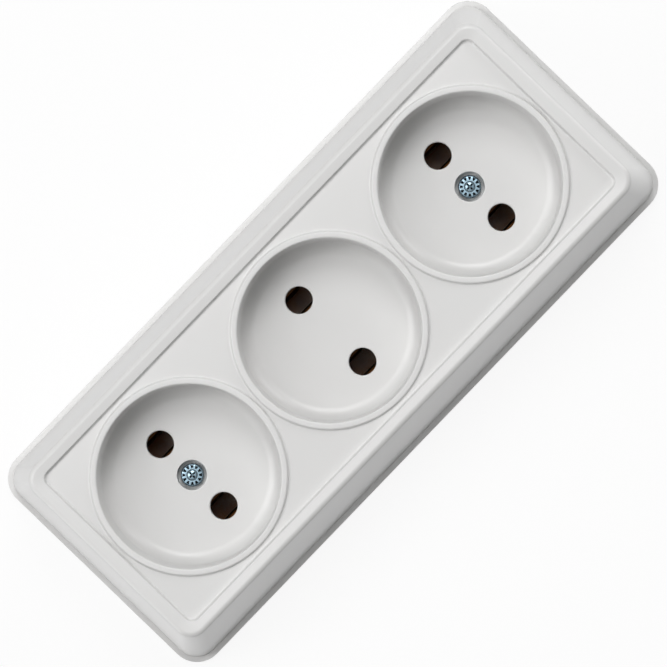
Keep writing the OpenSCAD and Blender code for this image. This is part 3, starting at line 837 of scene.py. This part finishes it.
@dataclass
class CoverScrew:
    """A zinc plated screw: cheese head, a small cross recess and a ring of notches round it."""

    row: Row
    pitch: float = 43.0
    seat_z: float = 19.0
    head_r: float = 2.5
    head_h: float = 2.1
    edge_h: float = 1.5
    flat_r: float = 2.05
    crown_fall: float = 0.06
    groove_r: float = 1.1
    groove_w: float = 0.18
    groove_depth: float = 0.3
    shank_r: float = 1.5
    tip_z: float = 2.9
    cross_span: float = 1.9
    cross_w: float = 0.5
    cross_depth: float = 1.2
    notch_count: int = 12
    notch_r: float = 1.8
    notch_len: float = 0.82
    notch_w: float = 0.92
    notch_depth: float = 0.7

    def body(self) -> bpy.types.Object:
        """Build head and shank by one spin of their half section.

        Returns:
            The object, in millimetres about its own axis.
        """
        bm = bmesh.new()
        top = self.seat_z + self.head_h
        point = 0.35
        burr = 0.12
        points = [(0.0, self.tip_z), (self.shank_r - point, self.tip_z),
                  (self.shank_r, self.tip_z + point), (self.shank_r, self.seat_z),
                  (self.head_r - burr, self.seat_z), (self.head_r, self.seat_z + burr)]
        rise = self.head_h - self.edge_h - self.crown_fall
        steps = 8
        for i in range(steps + 1):
            a = math.radians(90 * i / steps)
            points.append((self.flat_r + (self.head_r - self.flat_r) * math.cos(a),
                           self.seat_z + self.edge_h + rise * math.sin(a)))
        low = top - self.groove_depth
        outer, inner = self.groove_r + self.groove_w / 2, self.groove_r - self.groove_w / 2
        points += [(outer + 0.05, top - self.crown_fall), (outer, low), (inner, low),
                   (inner - 0.08, top - 0.12), (inner * 0.7, top - 0.04), (0.0, top)]
        verts = [bm.verts.new((x, 0.0, z)) for x, z in points]
        edges = [bm.edges.new(pair) for pair in zip(verts, verts[1:])]
        bmesh.ops.spin(bm, geom=verts + edges, cent=(0, 0, 0), axis=(0, 0, 1), dvec=(0, 0, 0),
                       angle=math.tau, steps=72, use_merge=True, use_normal_flip=False,
                       use_duplicate=False)
        bmesh.ops.remove_doubles(bm, verts=list(bm.verts), dist=0.0005)
        bmesh.ops.recalc_face_normals(bm, faces=list(bm.faces))
        return object_from(bm, f"cover_screw_piece_{self.row.name.lower()}")

    def pocket(self, bm: BMesh, size: tuple[float, float, float], shift: float, turn: float,
               inner_share: float) -> None:
        """Add the shape of one pocket to the cutter.

        Args:
            bm: The cutter's bmesh.
            size: Length along the radius, width and depth.
            shift: Distance of its middle from the axis.
            turn: Turn about the axis in degrees.
            inner_share: Width at its inner end as a share of the width at its outer end.
        """
        length, width, depth = size
        clear = 1.0
        verts = bmesh.ops.create_cube(bm, size=1.0)["verts"]
        bmesh.ops.scale(bm, vec=(length, width, depth + clear), verts=verts)
        bmesh.ops.scale(bm, vec=(1.0, inner_share, 1.0), verts=[v for v in verts if v.co.x < 0])
        bmesh.ops.scale(bm, vec=(0.7, 0.7, 1.0), verts=[v for v in verts if v.co.z < 0])
        top = self.seat_z + self.head_h
        bmesh.ops.translate(bm, vec=(shift, 0, top - depth / 2 + clear / 2), verts=verts)
        bmesh.ops.rotate(bm, cent=(0, 0, 0), matrix=Matrix.Rotation(math.radians(turn), 3, "Z"),
                         verts=verts)

    def cutter(self) -> bpy.types.Object:
        """Build the shape of the cross and of the notches that are cut out of the head.

        Returns:
            The object, in millimetres about the screw's axis.
        """
        bm = bmesh.new()
        for turn in (0, 90):
            self.pocket(bm, (self.cross_span, self.cross_w, self.cross_depth), 0.0, turn, 1.0)
        for i in range(self.notch_count):
            turn = 360 * (i + 0.5) / self.notch_count
            self.pocket(bm, (self.notch_len, self.notch_w, self.notch_depth), self.notch_r, turn, 0.42)
        return object_from(bm, "driver_shape")

    def build(self) -> bpy.types.Object:
        """Cut the recess and put the screw in its place.

        Returns:
            The object.
        """
        body, cutter = self.body(), self.cutter()
        cut = body.modifiers.new("recess", "BOOLEAN")
        cut.operation = "DIFFERENCE"
        cut.solver = "EXACT"
        cut.use_self = True
        cut.object = cutter
        graph = bpy.context.evaluated_depsgraph_get()
        mesh = bpy.data.meshes.new_from_object(body.evaluated_get(graph))
        bm = bmesh.new()
        bm.from_mesh(mesh)
        bmesh.ops.translate(bm, vec=(0, self.row.value * self.pitch, 0), verts=list(bm.verts))
        bmesh.ops.scale(bm, vec=(MM, MM, MM), verts=list(bm.verts))
        name = body.name
        for old in (body, cutter):
            bpy.data.objects.remove(old)
        piece = object_from(bm, name)
        even_shading(piece, 35.0)
        return piece


# Floor, light and camera


@dataclass(frozen=True)
class Lamp:
    """One soft box: where it stands and how bright it is.

    Attributes:
        name: Name of the lamp.
        azimuth_deg: Its direction, counted from the X axis towards the Y axis.
        elevation_deg: Its height above the table, as an angle.
        power: Its power in watts.
        distance: Its distance in metres.
        size: Its width and height in metres.
    """

    name: str
    azimuth_deg: float
    elevation_deg: float
    power: float
    distance: float = 1.2
    size: float = 0.4

    def make(self) -> None:
        """Put the lamp up, turned towards the object."""
        azimuth, elevation = math.radians(self.azimuth_deg), math.radians(self.elevation_deg)
        place = self.distance * Vector((math.cos(azimuth) * math.cos(elevation),
                                        math.sin(azimuth) * math.cos(elevation),
                                        math.sin(elevation)))
        data = bpy.data.lights.new(self.name, "AREA")
        data.shape = "SQUARE"
        data.size = self.size
        data.energy = self.power
        lamp = bpy.data.objects.new(self.name, data)
        lamp.location = place
        lamp.rotation_mode = "QUATERNION"
        lamp.rotation_quaternion = (-place).to_track_quat("-Z", "Y")
        bpy.context.scene.collection.objects.link(lamp)


@dataclass(frozen=True)
class Studio:
    """White table, plain world and soft boxes."""

    world_strength: float = 0.03
    floor_half_m: float = 4.0
    floor_show: float = 0.9
    lamps: tuple[Lamp, ...] = (
        Lamp("left_low_box", 225.0, 42.0, 1.9),
        Lamp("left_box", 225.0, 57.0, 1.8),
        Lamp("left_high_box", 225.0, 72.0, 1.9),
        Lamp("top_box", 135.0, 57.0, 3.5),
        Lamp("high_box", 135.0, 72.0, 2.4),
        Lamp("right_low_box", 90.0, 12.0, 1.7),
        Lamp("right_box", 90.0, 27.0, 3.0),
        Lamp("low_box", 270.0, 12.0, 2.6),
        Lamp("front_box", 270.0, 42.0, 1.4),
    )

    def shown_rays(self, tree: bpy.types.NodeTree) -> bpy.types.NodeSocket:
        """Tell the rays that show the background from those that only light the object.

        Args:
            tree: The node tree of the background.

        Returns:
            An output that is 1 for camera, glossy and transmission rays, and 0 for the others.
        """
        rays = add_node(tree, "ShaderNodeLightPath").outputs
        direct = add_node(tree, "ShaderNodeMath", {"operation": "MAXIMUM"},
                          {0: rays["Is Camera Ray"], 1: rays["Is Transmission Ray"]})
        either = add_node(tree, "ShaderNodeMath", {"operation": "MAXIMUM"},
                          {0: direct.outputs[0], 1: rays["Is Glossy Ray"]})
        return either.outputs[0]

    def world(self) -> None:
        """Light the scene evenly, and show the camera and the glossy surfaces plain white."""
        made = bpy.data.worlds.new("studio_world")
        bpy.context.scene.world = made
        made.use_nodes = True
        tree = made.node_tree
        tree.nodes.clear()
        seen = self.shown_rays(tree)
        even = add_node(tree, "ShaderNodeBackground", {"Strength": self.world_strength})
        even.inputs["Color"].default_value = (1.0, 1.0, 1.0, 1.0)
        white = add_node(tree, "ShaderNodeBackground", {"Strength": 1.0})
        white.inputs["Color"].default_value = (1.0, 1.0, 1.0, 1.0)
        mix = add_node(tree, "ShaderNodeMixShader", None,
                       {0: seen, 1: even.outputs[0], 2: white.outputs[0]})
        add_node(tree, "ShaderNodeOutputWorld", None, {"Surface": mix.outputs[0]})

    def floor(self) -> None:
        """Lay a white table top that keeps a faint shadow of the object."""
        bm = bmesh.new()
        bmesh.ops.create_grid(bm, x_segments=1, y_segments=1, size=self.floor_half_m)
        bmesh.ops.translate(bm, vec=(0, 0, -0.0001), verts=list(bm.verts))
        top = object_from(bm, "table_top")
        # The real ground is a photographer's white sheet: plain white that keeps the object's shadow.
        material, tree = blank_material("white_table")
        paint = add_node(tree, "ShaderNodeBsdfDiffuse", {"Color": linear("#F2F2F2")})
        glow = add_node(tree, "ShaderNodeEmission", {"Strength": 1.0})
        glow.inputs["Color"].default_value = (1.0, 1.0, 1.0, 1.0)
        share = add_node(tree, "ShaderNodeMath", {"operation": "MULTIPLY"},
                         {0: self.shown_rays(tree)})
        share.inputs[1].default_value = self.floor_show
        mix = add_node(tree, "ShaderNodeMixShader", None,
                       {0: share.outputs[0], 1: paint.outputs[0], 2: glow.outputs[0]})
        add_node(tree, "ShaderNodeOutputMaterial", None, {"Surface": mix.outputs[0]})
        top.data.materials.append(material)

    def make(self) -> None:
        """Set up the whole studio."""
        bpy.context.scene.view_settings.view_transform = "Standard"
        self.world()
        self.floor()
        for lamp in self.lamps:
            lamp.make()


@dataclass(frozen=True)
class PhotoCamera:
    """The photograph's view: almost straight down on the front, turned about the lens axis.

    Attributes:
        place: The camera's place.
        roll_deg: Turn of the object's long axis in the picture.
        tilt_deg: Small turns about the picture's own axes.
        focal: Focal length on a sensor 36 mm wide.
    """

    place: tuple[float, float, float] = (20.91, 9.47, 1021.17)
    roll_deg: float = 43.918
    tilt_deg: tuple[float, float] = (-0.4076, -1.2067)
    focal: float = 251.3

    def make(self) -> None:
        """Put the camera up and make it the scene's."""
        roll = Matrix.Rotation(-math.radians(self.roll_deg), 3, "Z")
        tilt = Vector((math.radians(self.tilt_deg[0]), math.radians(self.tilt_deg[1]), 0.0))
        view = Matrix.Rotation(tilt.length, 3, tilt) @ roll
        data = bpy.data.cameras.new("photo_camera")
        data.lens = self.focal
        data.sensor_width = 36.0
        data.clip_start, data.clip_end = 0.05, 50.0
        camera = bpy.data.objects.new("photo_camera", data)
        camera.matrix_world = (Matrix.Translation(Vector(self.place) * MM)
                               @ view.transposed().to_4x4())
        bpy.context.scene.collection.objects.link(camera)
        bpy.context.scene.camera = camera


def dress_metal(nodes: dict[str, bpy.types.Object]) -> None:
    """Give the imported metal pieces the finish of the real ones.

    Args:
        nodes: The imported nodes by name.
    """
    brass = RolledStrip("rolled_brass", "#C9A55A", "#B08C48").make()
    bronze = RolledStrip("spring_bronze_strip", "#4C3019", "#2F1D0E", roughness=0.45).make()
    zinc = ZincPlate("bright_zinc").make()
    by_start = {"busbar": brass, "rivet": brass, "clip": bronze, "cover_nut": zinc,
                "terminal_washer": zinc, "terminal_screw": zinc, "cover_screw": zinc}
    for name, node in nodes.items():
        for start, material in by_start.items():
            if name.startswith(start):
                node.data.materials.clear()
                node.data.materials.append(material)
                LOG.info("dressed %s", name)


def main() -> None:
    """Build and dress the pieces, then set the studio and the camera."""
    logging.basicConfig(level=logging.INFO, format="%(name)s: %(message)s")
    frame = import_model()
    nodes = frame["nodes"]
    PhotoCamera().make()

    plastic = MouldedPlastic("cover_urea").make()
    # The base's closed inside gets painted shade from ambient occlusion.
    base_plastic = MouldedPlastic("base_urea", paints_enclosed_shade=True).make()
    nodes["cover"].data.materials.clear()
    nodes["cover"].data.materials.append(plastic)
    nodes["base"].data.materials.clear()
    nodes["base"].data.materials.append(base_plastic)

    settle(Cover().build(), Slot.COVER, plastic, "cover")
    settle(Base().build(nodes["base"]), Slot.BASE, base_plastic, "base")
    dress_metal(nodes)
    zinc = bpy.data.materials["bright_zinc"]
    for row in (Row.LOWER, Row.UPPER):
        settle(CoverScrew(row).build(), Slot.ZINC, zinc, f"cover_screw_{row.name.lower()}")

    Studio().make()
    LOG.info("sizes written")


if __name__ == "__main__":
    main()
